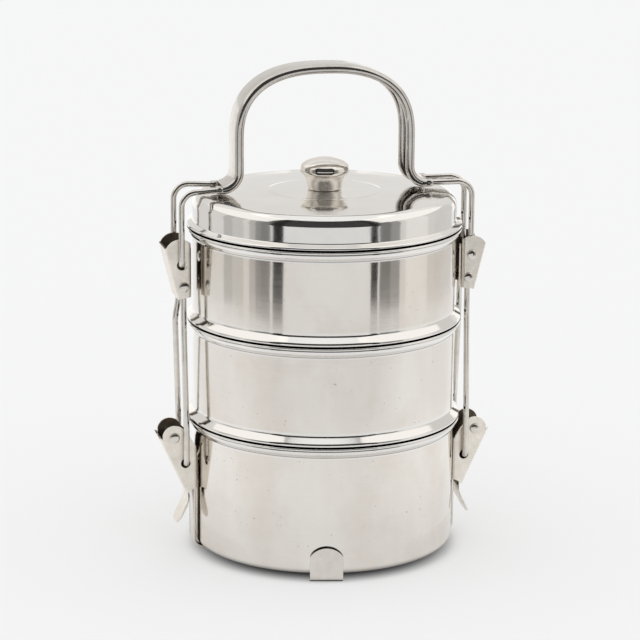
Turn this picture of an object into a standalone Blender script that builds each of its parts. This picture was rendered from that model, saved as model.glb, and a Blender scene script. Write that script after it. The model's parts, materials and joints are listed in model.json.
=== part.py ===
"""Three-tier steel tiffin carrier: stacked containers in a clamp frame with a wire handle.

World frame: origin on the floor under the stack's axis, +Z up, the two clamp sides at -X and +X,
the front at -Y.  All lengths are metres, all angles degrees.
"""
import bpy
import bmesh
from math import atan2, cos, degrees, hypot, pi, radians, sin, sqrt
from mathutils import Matrix, Vector

# ---- driving dimensions ------------------------------------------------------------------
GAP = 0.0003                  # clearance kept between neighbouring solids
SHEET = 0.0008                # container and lid sheet
PLATE = 0.0010                # latch and lever sheet
STRAP = 0.0012                # base strap thickness
LATHE_STEPS = 40

# stack of tiers
RIM_RADIUS = 0.0709           # rolled rim, the widest ring of every tier
WALL_RADIUS = 0.0678
NEST_RADIUS = 0.0659          # the stepped-in bottom that drops into the tier below
FLOOR_BOTTOM_TIER = 0.0030
JOINT_LOW = 0.0700            # parting lines between the tiers
JOINT_MID = 0.1214
JOINT_TOP = 0.16984
NEST_DEPTH = 0.0052
HALF_SEAM = 0.00015           # each tier stops this far from its parting line
RIM_EDGE = 0.0007             # radius of the outer edges of the rims, skirts and lid
RIM_DEPTH = 0.0053            # height of the rolled rim
SKIRT_HEIGHT = 0.0048         # height of the skirt that rests on the tier below
LID_BEAD = 0.0037             # height of the lid's outer edge
BOTTOM_CORNER = 0.0043        # radius between the lowest container's wall and its floor
NEST_CORNER = 0.0020

# lid and knob
LID_TOP = 0.1880
LID_WALL_RADIUS = 0.0678
LID_SHOULDER = 0.0058
PLATEAU_RADIUS = 0.0275       # the lid's raised centre
PLATEAU_RISE = 0.0004
CROWN_RADIUS = 0.0440         # the lid's top slopes down outside this
CROWN_FALL = 0.0008
KNOB_BASE = 0.0085
KNOB_CAP = 0.01285
KNOB_TOP = 0.2045
SCREW_HOLE = 0.0023

# handle
WIRE = 0.0015                 # radius of every bent wire
ROLL = 0.00235                # outer radius of the strap's rolled edge
ROLL_SHEET = 0.00055
GRIP_WIDTH = 0.0200
GRIP_TOP = 0.2531
GRIP_CENTRE = -0.0015         # the arch stands a little off the stack's axis
ARCH_HALF = 0.04445
ARCH_RISE = 0.0350
ARCH_POWER = 2.5              # superellipse exponent of the arch
FOOT_Z = 0.1908
FOOT_BEND = 0.0087
SHOULDER_BEND = 0.0100
PIN_BEND = 0.0022

# clamp sides, given for +X and mirrored; the hardware at -X sits a little higher
LATCH_LIFT = {1: -0.0008, -1: 0.0004}
LEVER_LIFT = {1: -0.0016, -1: 0.0022}
LIFT_CHANGE = 0.1000          # above this height the latches' lift applies, below it the levers'
LATCH_PIN = (0.0763, 0.1532)  # handle wires turn here in the upper latch
LINK_PIN = (0.0747, 0.1413)   # link wires turn here in the upper latch
HOOK_PIN = (0.0743, 0.0469)   # link wires hook into the lever here
LEVER_PIN = (0.0799, 0.0602)  # lever turns here on the riser's barrel
LATCH_HALF = 0.0100           # half the outer width of the upper latch
LEVER_HALF = 0.0090
LATCH_LIP = 0.0040            # widths of the latch's and lever's return lips
LEVER_LIP = 0.0024
LATCH_EDGE = 0.0054           # the latch's inner edge, inwards from its upper pin
LEVER_EDGE = 0.0116           # the lever's inner edge, inwards from its pin
HEAD_RADIUS = 0.0026          # domed ends of the rivets and of the peened wires
RIVET_PIN = 0.0017            # radius of the lever rivets' shanks
OUTSIDE = 0.0119              # wires that run outside the upper latch
INSIDE = 0.0072               # wires that run inside the upper latch
HOOK_OFFSET = 0.0120          # link wires beside the lever, clear of its rivet's heads
HOOK_RISE = 0.0180            # the link wires turn inwards this far above their hooks
LINK_BOW = 0.0018             # the rear wire of the -X link is bent outwards by this

# base frame
RISER_WIDTH = 0.0124
RISER_FACE = 0.0713           # outer face of the risers
RISER_KNEE = 0.0460
BARREL_BORE = 0.00205
BARREL_WRAP = 262.0           # degrees that the strap's end is curled round the rivet
CROSS_WIDTH = 0.0168
CROSS_FACE = 0.0694           # outer face of the upturned tabs
CROSS_SKEW = -11.0            # the cross strap is fixed this far off square
CROSS_CORNER = 0.0020
TAB_TOP = 0.0179
TAB_RISE = 0.0044             # height of the tab's round top
TAB_TIP = 0.0012              # half the width of the tab's flat crest
RIVET = 0.0022

SIDES = {"left": -1, "right": 1}


# ---- helpers -----------------------------------------------------------------------------
def clear_scene():
    for obj in list(bpy.data.objects):
        bpy.data.objects.remove(obj, do_unlink=True)


def steel(name, colour, roughness):
    """A metal material with one colour and roughness."""
    material = bpy.data.materials.new(name)
    material.use_nodes = True
    shader = material.node_tree.nodes["Principled BSDF"]
    shader.inputs["Base Color"].default_value = (*colour, 1.0)
    shader.inputs["Metallic"].default_value = 1.0
    shader.inputs["Roughness"].default_value = roughness
    return material


def empty(name, point, parent=None):
    """A joint's frame: the pieces of one moving body hang on it."""
    obj = bpy.data.objects.new(name, None)
    obj.location = Vector(point) - (frame_point(parent) if parent else Vector())
    obj.parent = parent
    bpy.context.collection.objects.link(obj)
    return obj


def frame_point(obj):
    point = Vector(obj.location)
    while obj.parent:
        obj = obj.parent
        point += Vector(obj.location)
    return point


def add_object(name, bm, material, frame):
    """Make an object from world-space geometry, with its origin on its body's frame."""
    bmesh.ops.recalc_face_normals(bm, faces=bm.faces)
    origin = frame_point(frame)
    bmesh.ops.translate(bm, verts=bm.verts, vec=-origin)
    mesh = bpy.data.meshes.new(name)
    bm.to_mesh(mesh)
    bm.free()
    mesh.materials.append(material)
    mesh.shade_smooth()
    mesh.set_sharp_from_angle(angle=radians(35))
    obj = bpy.data.objects.new(name, mesh)
    obj.parent = frame
    bpy.context.collection.objects.link(obj)
    return obj


def cut(obj, bm, name):
    """Subtract a cutter from an object with a Boolean modifier."""
    cutter = add_object(name, bm, CUTTER_MATERIAL, obj.parent)
    cutter.hide_render = True
    cutter.display_type = "WIRE"
    modifier = obj.modifiers.new(name, "BOOLEAN")
    modifier.operation = "DIFFERENCE"
    modifier.solver = "EXACT"
    modifier.object = cutter


def arc(centre, radius, start, stop, steps):
    """Points on a circle from angle start to angle stop, both included."""
    points = []
    for i in range(steps + 1):
        angle = radians(start + (stop - start) * i / steps)
        points.append((centre[0] + radius * cos(angle), centre[1] + radius * sin(angle)))
    return points


def lathe(profile, steps=LATHE_STEPS):
    """Turn a closed (radius, z) outline about a vertical axis."""
    bm = bmesh.new()
    rings = []
    for radius, z in profile:
        if radius < 1e-7:
            rings.append([bm.verts.new((0.0, 0.0, z))])
            continue
        ring = []
        for i in range(steps):
            angle = 2 * pi * i / steps
            ring.append(bm.verts.new((radius * cos(angle), radius * sin(angle), z)))
        rings.append(ring)
    count = len(rings)
    for k in range(count):
        low, high = rings[k], rings[(k + 1) % count]
        if len(low) == 1 and len(high) == 1:
            continue
        for i in range(steps):
            j = (i + 1) % steps
            quad = [low[i % len(low)], low[j % len(low)], high[j % len(high)], high[i % len(high)]]
            corners = list(dict.fromkeys(quad))
            bm.faces.new(corners)
    return bm


def loft(rings):
    """Join equal rings of points into a closed tube with flat ends."""
    bm = bmesh.new()
    verts = [[bm.verts.new(point) for point in ring] for ring in rings]
    count = len(verts[0])
    for low, high in zip(verts, verts[1:]):
        for i in range(count):
            j = (i + 1) % count
            bm.faces.new((low[i], low[j], high[j], high[i]))
    bm.faces.new(verts[0])
    bm.faces.new(verts[-1])
    return bm


def tube(path, radii, sides=8):
    """A round bar along a path, with one radius at each point."""
    points = [Vector(p) for p in path]
    tangents = []
    for i, point in enumerate(points):
        before = points[max(i - 1, 0)]
        after = points[min(i + 1, len(points) - 1)]
        if 0 < i < len(points) - 1:
            tangents.append(((point - before).normalized() + (after - point).normalized()).normalized())
        else:
            tangents.append((after - before).normalized())
    normal = tangents[0].orthogonal().normalized()
    rings = []
    for i, point in enumerate(points):
        if i:
            normal = tangents[i - 1].rotation_difference(tangents[i]) @ normal
        binormal = tangents[i].cross(normal)
        ring = []
        for k in range(sides):
            angle = 2 * pi * k / sides
            ring.append(point + radii[i] * (cos(angle) * normal + sin(angle) * binormal))
        rings.append(ring)
    return loft(rings)


def prism(outline, y_low, y_high):
    """Extrude an (x, z) outline along Y."""
    return loft([[(x, y, z) for x, z in outline] for y in (y_low, y_high)])


def rod_y(point, radius, y_low, y_high, sides=16):
    """A cylinder along Y about the (x, z) point."""
    return prism(arc(point, radius, 0, 360 - 360 / sides, sides - 1), y_low, y_high)


def normals(path):
    """Unit normals of an (x, z) path, to the left of its direction."""
    found = []
    for i in range(len(path)):
        before = path[max(i - 1, 0)]
        after = path[min(i + 1, len(path) - 1)]
        dx, dz = after[0] - before[0], after[1] - before[1]
        length = hypot(dx, dz)
        found.append((-dz / length, dx / length))
    return found


def flat_strap(path, thickness, halves):
    """A strap along an (x, z) centreline; its width lies along Y, half of it given at each point."""
    rings = []
    for (x, z), (nx, nz), half in zip(path, normals(path), halves):
        ox, oz = nx * thickness / 2, nz * thickness / 2
        edge = [(x + ox, z + oz), (x - ox, z - oz)]
        rings.append([(u, -half, v) for u, v in edge] + [(u, half, v) for u, v in reversed(edge)])
    return loft(rings)


def at_side(point, sign):
    """An (x, z) point of the clamp side at +X, moved to the side with this sign."""
    lift = LATCH_LIFT if point[1] > LIFT_CHANGE else LEVER_LIFT
    return (sign * point[0], point[1] + lift[sign])


# ---- containers and lid ------------------------------------------------------------------
def rim_outline(top):
    """The rolled rim from the outer wall over the bead to the inner wall."""
    top -= HALF_SEAM
    bead = (RIM_RADIUS - RIM_EDGE, top - RIM_EDGE)
    outline = [(WALL_RADIUS, top - RIM_DEPTH), (RIM_RADIUS - 0.0015, top - 0.0030)]
    outline += [(RIM_RADIUS - RIM_EDGE, top - 2 * RIM_EDGE)] + arc(bead, RIM_EDGE, -30, 90, 2)
    return outline + [(WALL_RADIUS - 0.0002, top), (WALL_RADIUS - SHEET, top - 0.0007)]


def bottom_container_profile():
    corner = BOTTOM_CORNER
    low = FLOOR_BOTTOM_TIER
    profile = [(0.0, low)]
    profile += arc((WALL_RADIUS - corner, low + corner), corner, -90, 0, 3)
    profile += rim_outline(JOINT_LOW)
    profile += arc((WALL_RADIUS - corner, low + corner), corner - SHEET, 0, -90, 2)
    return profile + [(0.0, low + SHEET)]


def upper_container_profile(seam, top):
    """Wall with a flared skirt above the seam and a stepped-in bottom below it."""
    low = seam - NEST_DEPTH
    corner = NEST_CORNER
    profile = [(0.0, low)]
    profile += arc((NEST_RADIUS - corner, low + corner), corner, -90, 0, 2)
    profile += [(NEST_RADIUS, seam + HALF_SEAM)]
    profile += arc((RIM_RADIUS - RIM_EDGE, seam + HALF_SEAM + RIM_EDGE), RIM_EDGE, -90, 0, 2)
    profile += [(RIM_RADIUS - 0.0001, seam + 0.0016), (RIM_RADIUS - RIM_EDGE, seam + 0.0026)]
    profile += [(WALL_RADIUS + 0.0003, seam + SKIRT_HEIGHT), (WALL_RADIUS, seam + SKIRT_HEIGHT + 0.0005)]
    profile += rim_outline(top)
    inner = NEST_RADIUS - SHEET
    profile += [(WALL_RADIUS - SHEET, seam + 0.0030), (inner, seam + 0.0012)]
    profile += arc((NEST_RADIUS - corner, low + corner), corner - SHEET, 0, -90, 1)
    return profile + [(0.0, low + SHEET)]


def lid_top():
    """The lid's upper surface, from its shoulder in to the screw hole."""
    shelf = LID_TOP - PLATEAU_RISE
    edge = (LID_WALL_RADIUS - LID_SHOULDER, shelf - CROWN_FALL)
    return [edge, (CROWN_RADIUS, shelf), (PLATEAU_RADIUS + 0.0015, shelf), (PLATEAU_RADIUS, LID_TOP),
            (SCREW_HOLE, LID_TOP)]


def lid_profile():
    seam = JOINT_TOP + HALF_SEAM
    inner = LID_WALL_RADIUS - SHEET
    top = lid_top()
    shoulder_z = top[0][1] - LID_SHOULDER
    profile = [(NEST_RADIUS, JOINT_TOP - 0.0038), (NEST_RADIUS, seam)]
    profile += arc((RIM_RADIUS - RIM_EDGE, seam + RIM_EDGE), RIM_EDGE, -90, 60, 3)
    profile += [(LID_WALL_RADIUS, seam + LID_BEAD)]
    profile += arc((top[0][0], shoulder_z), LID_SHOULDER, 0, 90, 4)
    profile += top[1:]
    profile += [(radius, z - SHEET) for radius, z in reversed(top[1:])]
    profile += arc((top[0][0], shoulder_z), LID_SHOULDER - SHEET, 90, 0, 2)
    profile += [(inner, seam + 0.0028), (NEST_RADIUS - SHEET, seam + 0.0012)]
    return profile + [(NEST_RADIUS - SHEET, JOINT_TOP - 0.0038)]


def knob_profile():
    base = LID_TOP + GAP
    cap_z = KNOB_TOP - 0.0063
    profile = [(SCREW_HOLE, base), (KNOB_BASE, base), (KNOB_BASE + 0.0002, base + 0.0022)]
    profile += [(KNOB_BASE + 0.0008, base + 0.0048), (KNOB_BASE + 0.0022, base + 0.0075)]
    profile += [(KNOB_CAP - 0.0004, cap_z - 0.0012), (KNOB_CAP, cap_z), (KNOB_CAP - 0.0004, cap_z + 0.0013)]
    profile += [(KNOB_CAP - 0.0024, cap_z + 0.0035), (KNOB_CAP - 0.0062, cap_z + 0.0055), (0.0, KNOB_TOP)]
    hole_top = base + 0.0090
    return profile + [(0.0, hole_top), (SCREW_HOLE, hole_top)]


def screw_profile():
    under = LID_TOP - SHEET - GAP
    shank = SCREW_HOLE - GAP
    tip = LID_TOP + 0.0080
    return [(0.0, under - 0.0016), (0.0030, under - 0.0014), (0.0044, under - 0.0005), (0.0044, under),
            (shank, under), (shank, tip), (0.0, tip)]


# ---- handle ------------------------------------------------------------------------------
def arch_path(steps=18):
    """Centreline of the handle's rolls, from the foot at -X over the arch to the foot at +X."""
    crown = GRIP_TOP - ROLL - ARCH_RISE
    foot_x = ARCH_HALF + FOOT_BEND
    left = [(-foot_x + x, z) for x, z in arc((0.0, FOOT_Z + FOOT_BEND), FOOT_BEND, -90, 0, 4)]
    path = left + [(-ARCH_HALF, crown - 0.0040)]
    for i in range(steps + 1):
        angle = pi - pi * i / steps
        c, s = cos(angle), sin(angle)
        x = ARCH_HALF * (1 if c >= 0 else -1) * abs(c) ** (2 / ARCH_POWER)
        path.append((x, crown + ARCH_RISE * s ** (2 / ARCH_POWER)))
    path += [(ARCH_HALF, crown - 0.0040)] + [(-x, z) for x, z in reversed(left)]
    return [(x + GRIP_CENTRE, z) for x, z in path]


def grip_section():
    """Strap outline across its width: (along Y, outward) with both edges rolled round the wires."""
    centre = GRIP_WIDTH / 2 - ROLL
    outer = [(centre + ROLL * cos(radians(a)), ROLL * sin(radians(a))) for a in range(90, -171, -52)]
    inner = [(centre + (ROLL - ROLL_SHEET) * cos(radians(a)), (ROLL - ROLL_SHEET) * sin(radians(a)))
             for a in range(90, -171, -52)]
    half = outer + inner[::-1]
    return half + [(-y, n) for y, n in half[::-1]]


def grip_mesh():
    path = arch_path()
    section = grip_section()
    rings = []
    for (x, z), (nx, nz) in zip(path, normals(path)):
        rings.append([(x + n * nx, y, z + n * nz) for y, n in section])
    return loft(rings)


def head_stations(shank):
    """A domed head at a pin's end: distances along the pin, with the radius at each."""
    return [(0.0, shank), (0.00001, HEAD_RADIUS), (0.0004, HEAD_RADIUS), (0.0008, HEAD_RADIUS * 0.7),
            (0.0010, HEAD_RADIUS * 0.3)]


def bend(corner, before, after, radius, steps):
    """Round a corner between two directions: points of the arc that leaves along 'after'."""
    corner, before, after = Vector(corner), Vector(before).normalized(), Vector(after).normalized()
    points = []
    for i in range(steps + 1):
        angle = pi / 2 * i / steps
        points.append(corner - before * radius * (1 - sin(angle)) + after * radius * (1 - cos(angle)))
    return points


def pinned_end(point, wire_y, face, pin, head):
    """Lower end of a vertical wire: down, round a bend, and a pin across to y = pin.

    face is the side of the latch plate that a peened head sits against."""
    x, z = point
    down, across = (0, 0, -1), (0, 1 if pin > wire_y else -1, 0)
    path = bend((x, wire_y, z), down, across, PIN_BEND, 4)
    radii = [WIRE] * len(path)
    if head:
        way = across[1]
        near = face + way * GAP
        for offset, radius in head_stations(WIRE):
            path.append(Vector((x, near + way * offset, z)))
            radii.append(radius)
    else:
        path.append(Vector((x, pin, z)))
        radii.append(WIRE)
    return path, radii


def handle_wire(front):
    """One handle wire: hooked into the latch at -X, rolled in the strap, peened in the latch at +X."""
    row = (GRIP_WIDTH / 2 - ROLL) * front
    arch = [Vector((x, row, z)) for x, z in arch_path()]
    ends = {}
    for name, sign in SIDES.items():
        outside = sign < 0
        wire_y = (OUTSIDE if outside else INSIDE) * front
        pin = at_side(LATCH_PIN, sign)
        face = LATCH_HALF * front
        target = (LATCH_HALF - PLATE - 0.0015) * front if outside else face
        path, radii = pinned_end(pin, wire_y, face, target, head=not outside)
        shoulder = bend((pin[0], wire_y, FOOT_Z), (sign, 0, 0), (0, 0, -1), SHOULDER_BEND, 5)
        ends[name] = ([*shoulder, *path], [WIRE] * len(shoulder) + radii)
    left_path, left_radii = ends["left"]
    right_path, right_radii = ends["right"]
    path = [*reversed(left_path), *arch, *right_path]
    radii = [*reversed(left_radii), *[WIRE] * len(arch), *right_radii]
    return tube(path, radii)


# ---- latches, links and levers -----------------------------------------------------------
def channel(name, outline, web, half, lip, sign, frame):
    """A U-channel: plates at both sides, a web along the outer edge and lips along the inner one.

    outline is the side plate's (x, z) shape at +X.  web is a point on the web's inner face and its
    lean, in x for each unit of z."""
    (web_x, web_z), lean = web
    inner_x = min(x for x, z in outline)
    top = max(z for x, z in outline) + 0.005
    low = min(z for x, z in outline) - 0.005
    plate = prism([at_side(p, sign) for p in outline], -half, half)
    body = add_object(name, plate, MATERIALS["plate"], frame)
    lip_x = inner_x + PLATE
    meet = web_z + (lip_x - web_x) / lean
    foot = [(lip_x, meet)] if meet > low else [(lip_x, low), (web_x + lean * (low - web_z), low)]
    room = [*foot, (web_x + lean * (top - web_z), top), (lip_x, top)]
    inside = half - PLATE
    cut(body, prism([at_side(p, sign) for p in room], -inside, inside), name + "_room")
    slot = [(inner_x - 0.005, low), (lip_x + 0.0002, low), (lip_x + 0.0002, top), (inner_x - 0.005, top)]
    mouth = half - lip
    cut(body, prism([at_side(p, sign) for p in slot], -mouth, mouth), name + "_mouth")
    return body


def upper_latch(name, sign, frame):
    px, pz = LATCH_PIN
    outline = arc((px + 0.0004, pz + 0.0050), 0.0078, 130, 25, 6)
    outline += [(px + 0.0081, pz + 0.0080), (px + 0.0018, pz - 0.0178), (px - 0.0052, pz - 0.0174)]
    outline += [(px - LATCH_EDGE, pz + 0.0070)]
    lean = (0.0081 - 0.0018) / (0.0080 + 0.0178)
    web = ((px + 0.0081 - PLATE * sqrt(1 + lean * lean), pz + 0.0080), lean)
    body = channel(name, outline, web, LATCH_HALF, LATCH_LIP, sign, frame)
    big = WIRE + 0.0009 if sign < 0 else WIRE + GAP
    cut(body, rod_y(at_side(LATCH_PIN, sign), big, -0.02, 0.02), name + "_upper_holes")
    cut(body, rod_y(at_side(LINK_PIN, sign), WIRE + GAP, -0.02, 0.02), name + "_lower_holes")
    crown = [(px - 0.0200, pz + 0.0080), (px + 0.0200, pz + 0.0080), (px + 0.0200, pz + 0.0200),
             (px - 0.0200, pz + 0.0200)]
    inside = LATCH_HALF - PLATE
    cut(body, prism([at_side(p, sign) for p in crown], -inside, inside), name + "_crown")
    return body


def lever(name, sign, frame):
    px, pz = LEVER_PIN
    outline = arc((px, pz), 0.0063, 150, 20, 6)
    outline += [(px + 0.0068, pz - 0.0020), (px - 0.0064, pz - 0.0303), (px - 0.0086, pz - 0.0274)]
    outline += [(px - LEVER_EDGE, pz - 0.0262), (px - LEVER_EDGE, pz - 0.0068), (px - 0.0102, pz - 0.0034)]
    lean = (0.0068 + 0.0064) / (0.0303 - 0.0020)
    thick = PLATE * sqrt(1 + lean * lean)
    web = ((px + 0.0068 - thick, pz - 0.0020), lean)
    body = channel(name, outline, web, LEVER_HALF, LEVER_LIP, sign, frame)
    inside = LEVER_HALF - PLATE
    cut(body, rod_y(at_side(LEVER_PIN, sign), RIVET_PIN + GAP, -0.02, 0.02), name + "_pin_holes")
    cut(body, rod_y(at_side(HOOK_PIN, sign), WIRE + 0.0006, -0.02, 0.02), name + "_hook_holes")
    crown = [(px - 0.0200, pz - 0.0012), (px + 0.0200, pz - 0.0012), (px + 0.0200, pz + 0.0200),
             (px - 0.0200, pz + 0.0200)]
    cut(body, prism([at_side(p, sign) for p in crown], -inside, inside), name + "_crown")
    join_leaf(body, name, sign, (px - 0.0064, pz - 0.0303), thick)
    return body


def join_leaf(body, name, sign, start, thick):
    """Unite the lever with its thumb leaf: on from the web's foot, flared outwards, narrowing to its tip."""
    steps = [(0.0010, 0.0040), (-0.0004, -0.0004), (-0.0006, -0.0032), (0.0004, -0.0066), (0.0028, -0.0116),
             (0.0056, -0.0168)]
    halves = [0.0055, 0.0055, 0.0058, 0.0067, 0.0062, 0.0028]
    path = [at_side((start[0] - thick / 2 + out, start[1] + up), sign) for out, up in steps]
    leaf = add_object(name + "_leaf", flat_strap(path, PLATE, halves), CUTTER_MATERIAL, body.parent)
    leaf.hide_render = True
    leaf.display_type = "WIRE"
    modifier = body.modifiers.new(name + "_leaf", "BOOLEAN")
    modifier.operation = "UNION"
    modifier.solver = "EXACT"
    modifier.object = leaf


def link_wire(sign, front):
    """One link wire: peened in the upper latch, running down to hook round the lever from outside."""
    top = at_side(LINK_PIN, sign)
    low = at_side(HOOK_PIN, sign)
    inside, beside = INSIDE * front, HOOK_OFFSET * front
    up_path, up_radii = pinned_end((0, 0), inside, LATCH_HALF * front, LATCH_HALF * front, head=True)
    upper = [Vector((top[0], p.y, top[1] - p.z)) for p in up_path]
    bow = LINK_BOW * sign if (sign < 0 and front > 0) else 0.0
    straight = Vector((top[0], inside, top[1] - 0.0070))
    bowed = Vector((top[0] + bow, inside * 1.04, top[1] - 0.0220))
    near_hook = Vector((low[0], beside, low[1] + HOOK_RISE))
    hook_end = (LEVER_HALF + 0.0004) * front
    low_path, low_radii = pinned_end(low, beside, 0.0, hook_end, head=False)
    path = [*reversed(upper), straight, bowed, near_hook, *low_path[:-1]]
    radii = [*reversed(up_radii), WIRE, WIRE, WIRE, *low_radii[:-1]]
    return tube(path, radii)


def lever_rivet(sign):
    """Rivet through the lever's plates and the riser's barrel, with a domed head at each end."""
    x, z = at_side(LEVER_PIN, sign)
    near = LEVER_HALF + GAP
    ends = [(near + offset, radius) for offset, radius in head_stations(RIVET_PIN)]
    stations = [(-y, r) for y, r in reversed(ends)] + ends
    return tube([(x, y, z) for y, r in stations], [r for y, r in stations], sides=12)


# ---- base frame --------------------------------------------------------------------------
def riser_path(sign):
    """One side of the base strap's centreline, from the floor's middle up to the barrel's end."""
    x = RISER_FACE - STRAP / 2
    z = STRAP + GAP + STRAP / 2
    corner = 0.0050
    path = arc((x - corner, z + corner), corner, -90, 0, 5)
    path.append((x, RISER_KNEE + LEVER_LIFT[sign]))
    px, pz = LEVER_PIN[0], LEVER_PIN[1] + LEVER_LIFT[sign]
    radius = BARREL_BORE + STRAP / 2
    dx, dz = px - path[-1][0], pz - path[-1][1]
    reach = sqrt(dx * dx + dz * dz - radius * radius)
    tangent = degrees(atan2(dz, dx)) + 90 - degrees(atan2(radius, reach))
    path += arc((px, pz), radius, tangent, tangent - BARREL_WRAP, 12)
    return [(sign * px, pz) for px, pz in path]


def base_strap_mesh():
    path = [*reversed(riser_path(-1)), *riser_path(1)]
    return flat_strap(path, STRAP, [RISER_WIDTH / 2] * len(path))


def cross_strap_mesh():
    """Strap along Y with upturned round-topped tabs, turned about Z by its skew."""
    face = CROSS_FACE - STRAP / 2
    half = CROSS_WIDTH / 2
    radius = (half * half + TAB_RISE * TAB_RISE) / (2 * TAB_RISE)
    side = arc((face - CROSS_CORNER, STRAP / 2 + CROSS_CORNER), CROSS_CORNER, -90, 0, 3)
    halves = [half] * len(side)
    for i in range(6):
        level = TAB_RISE * i / 5
        height = radius - TAB_RISE + level
        side.append((face, TAB_TOP - TAB_RISE + level))
        halves.append(max(sqrt(max(radius * radius - height * height, 0.0)), TAB_TIP))
    path = [(-u, z) for u, z in reversed(side)] + side
    bm = flat_strap(path, STRAP, halves[::-1] + halves)
    turn = Matrix.Rotation(radians(90 + CROSS_SKEW), 3, "Z")
    bmesh.ops.rotate(bm, verts=bm.verts, cent=(0, 0, 0), matrix=turn)
    return bm


def rivet_profile(spread):
    """Double countersunk rivet that joins the two straps, grown by 'spread' for its holes."""
    low, high = 0.0001 - spread, 2 * STRAP + GAP - 0.0001 + spread
    flare = 0.0009
    return [(0.0, low), (RIVET + 0.0010 + spread, low), (RIVET + spread, low + flare + spread),
            (RIVET + spread, high - flare - spread), (RIVET + 0.0010 + spread, high), (0.0, high)]


# ---- assembly ----------------------------------------------------------------------------
def build():
    base = empty("base_frame", (0, 0, 0))
    bottom = empty("bottom_lift", (0, 0, 0), base)
    middle = empty("middle_lift", (0, 0, JOINT_LOW), bottom)
    top = empty("top_lift", (0, 0, JOINT_MID), middle)
    cover = empty("lid_lift", (0, 0, JOINT_TOP), top)
    handle = empty("handle_lift", (0, 0, FOOT_Z), cover)

    base_strap = add_object("base_strap", base_strap_mesh(), MATERIALS["strap"], base)
    cross_strap = add_object("cross_strap", cross_strap_mesh(), MATERIALS["strap"], base)
    for strap in (base_strap, cross_strap):
        cut(strap, lathe(rivet_profile(GAP), 16), strap.name + "_rivet_hole")
    add_object("strap_rivet", lathe(rivet_profile(0.0), 16), MATERIALS["strap"], base)

    add_object("container_bottom", lathe(bottom_container_profile()), MATERIALS["vessel"], bottom)
    uppers = (("middle", JOINT_LOW, JOINT_MID, middle), ("top", JOINT_MID, JOINT_TOP, top))
    for name, seam, rim, frame in uppers:
        shell = lathe(upper_container_profile(seam, rim))
        add_object("container_" + name, shell, MATERIALS["vessel"], frame)
    add_object("lid", lathe(lid_profile()), MATERIALS["lid"], cover)
    add_object("lid_knob", lathe(knob_profile(), 24), MATERIALS["lid"], cover)
    add_object("knob_screw", lathe(screw_profile(), 16), MATERIALS["strap"], cover)

    add_object("handle_grip", grip_mesh(), MATERIALS["wire"], handle)
    add_object("handle_wire_front", handle_wire(-1), MATERIALS["wire"], handle)
    add_object("handle_wire_back", handle_wire(1), MATERIALS["wire"], handle)

    for name, sign in SIDES.items():
        latch_x, latch_z = at_side(LATCH_PIN, sign)
        link_x, link_z = at_side(LINK_PIN, sign)
        lever_x, lever_z = at_side(LEVER_PIN, sign)
        latch = empty("latch_pivot_" + name, (latch_x, 0, latch_z), handle)
        link = empty("link_pivot_" + name, (link_x, 0, link_z), latch)
        turn = empty("lever_pivot_" + name, (lever_x, 0, lever_z), base)
        upper_latch("upper_latch_" + name, sign, latch)
        add_object("link_" + name + "_front", link_wire(sign, -1), MATERIALS["wire"], link)
        add_object("link_" + name + "_back", link_wire(sign, 1), MATERIALS["wire"], link)
        lever("lever_" + name, sign, turn)
        add_object("lever_rivet_" + name, lever_rivet(sign), MATERIALS["strap"], base)


clear_scene()
CUTTER_MATERIAL = steel("cutter", (0.5, 0.5, 0.5), 0.5)
MATERIALS = {
    "vessel": steel("brushed_vessel_steel", (0.66, 0.64, 0.61), 0.28),
    "lid": steel("polished_lid_steel", (0.70, 0.69, 0.67), 0.12),
    "strap": steel("base_strap_steel", (0.62, 0.60, 0.57), 0.30),
    "wire": steel("bent_wire_steel", (0.60, 0.56, 0.51), 0.22),
    "plate": steel("pressed_plate_steel", (0.62, 0.59, 0.54), 0.38),
}
build()
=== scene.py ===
"""Looks of a three-tier steel tiffin carrier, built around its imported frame.

Row frame: metres, +Z up, the clamp sides at -X and +X, the front at -Y.
"""
import json
from math import atan2, cos, degrees, hypot, pi, radians, sin, sqrt, tan

import bmesh
import bpy
from mathutils import Matrix, Vector


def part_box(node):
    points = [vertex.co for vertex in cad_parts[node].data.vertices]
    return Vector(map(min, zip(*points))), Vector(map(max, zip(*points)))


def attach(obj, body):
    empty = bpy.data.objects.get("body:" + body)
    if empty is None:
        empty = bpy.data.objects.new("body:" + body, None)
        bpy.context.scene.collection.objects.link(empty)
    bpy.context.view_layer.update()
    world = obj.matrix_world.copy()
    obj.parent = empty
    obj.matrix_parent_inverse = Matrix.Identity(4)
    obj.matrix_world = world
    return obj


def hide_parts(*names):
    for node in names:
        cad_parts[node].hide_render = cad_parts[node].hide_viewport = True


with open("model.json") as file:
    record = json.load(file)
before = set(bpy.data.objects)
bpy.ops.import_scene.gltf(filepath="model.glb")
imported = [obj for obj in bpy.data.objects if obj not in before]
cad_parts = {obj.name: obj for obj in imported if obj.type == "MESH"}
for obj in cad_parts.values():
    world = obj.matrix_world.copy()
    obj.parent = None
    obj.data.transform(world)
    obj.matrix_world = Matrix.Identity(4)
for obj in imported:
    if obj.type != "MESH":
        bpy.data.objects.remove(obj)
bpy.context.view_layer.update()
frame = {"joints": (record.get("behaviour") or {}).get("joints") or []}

# ---- sizes read from the frame ----
PIVOTS = {joint["name"]: joint.get("pos_m") for joint in frame["joints"]}
HALF_SEAM = 0.00015
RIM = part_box("container_bottom")[1].x
SEAM_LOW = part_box("container_bottom")[1].z + HALF_SEAM
SEAM_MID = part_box("container_middle")[1].z + HALF_SEAM
SEAM_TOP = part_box("container_top")[1].z + HALF_SEAM
LID_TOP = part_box("lid")[1].z
KNOB_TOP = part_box("lid_knob")[1].z
KNOB_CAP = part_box("lid_knob")[1].x
GRIP_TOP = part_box("handle_grip")[1].z
GRIP_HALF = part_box("handle_grip")[1].y
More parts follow.
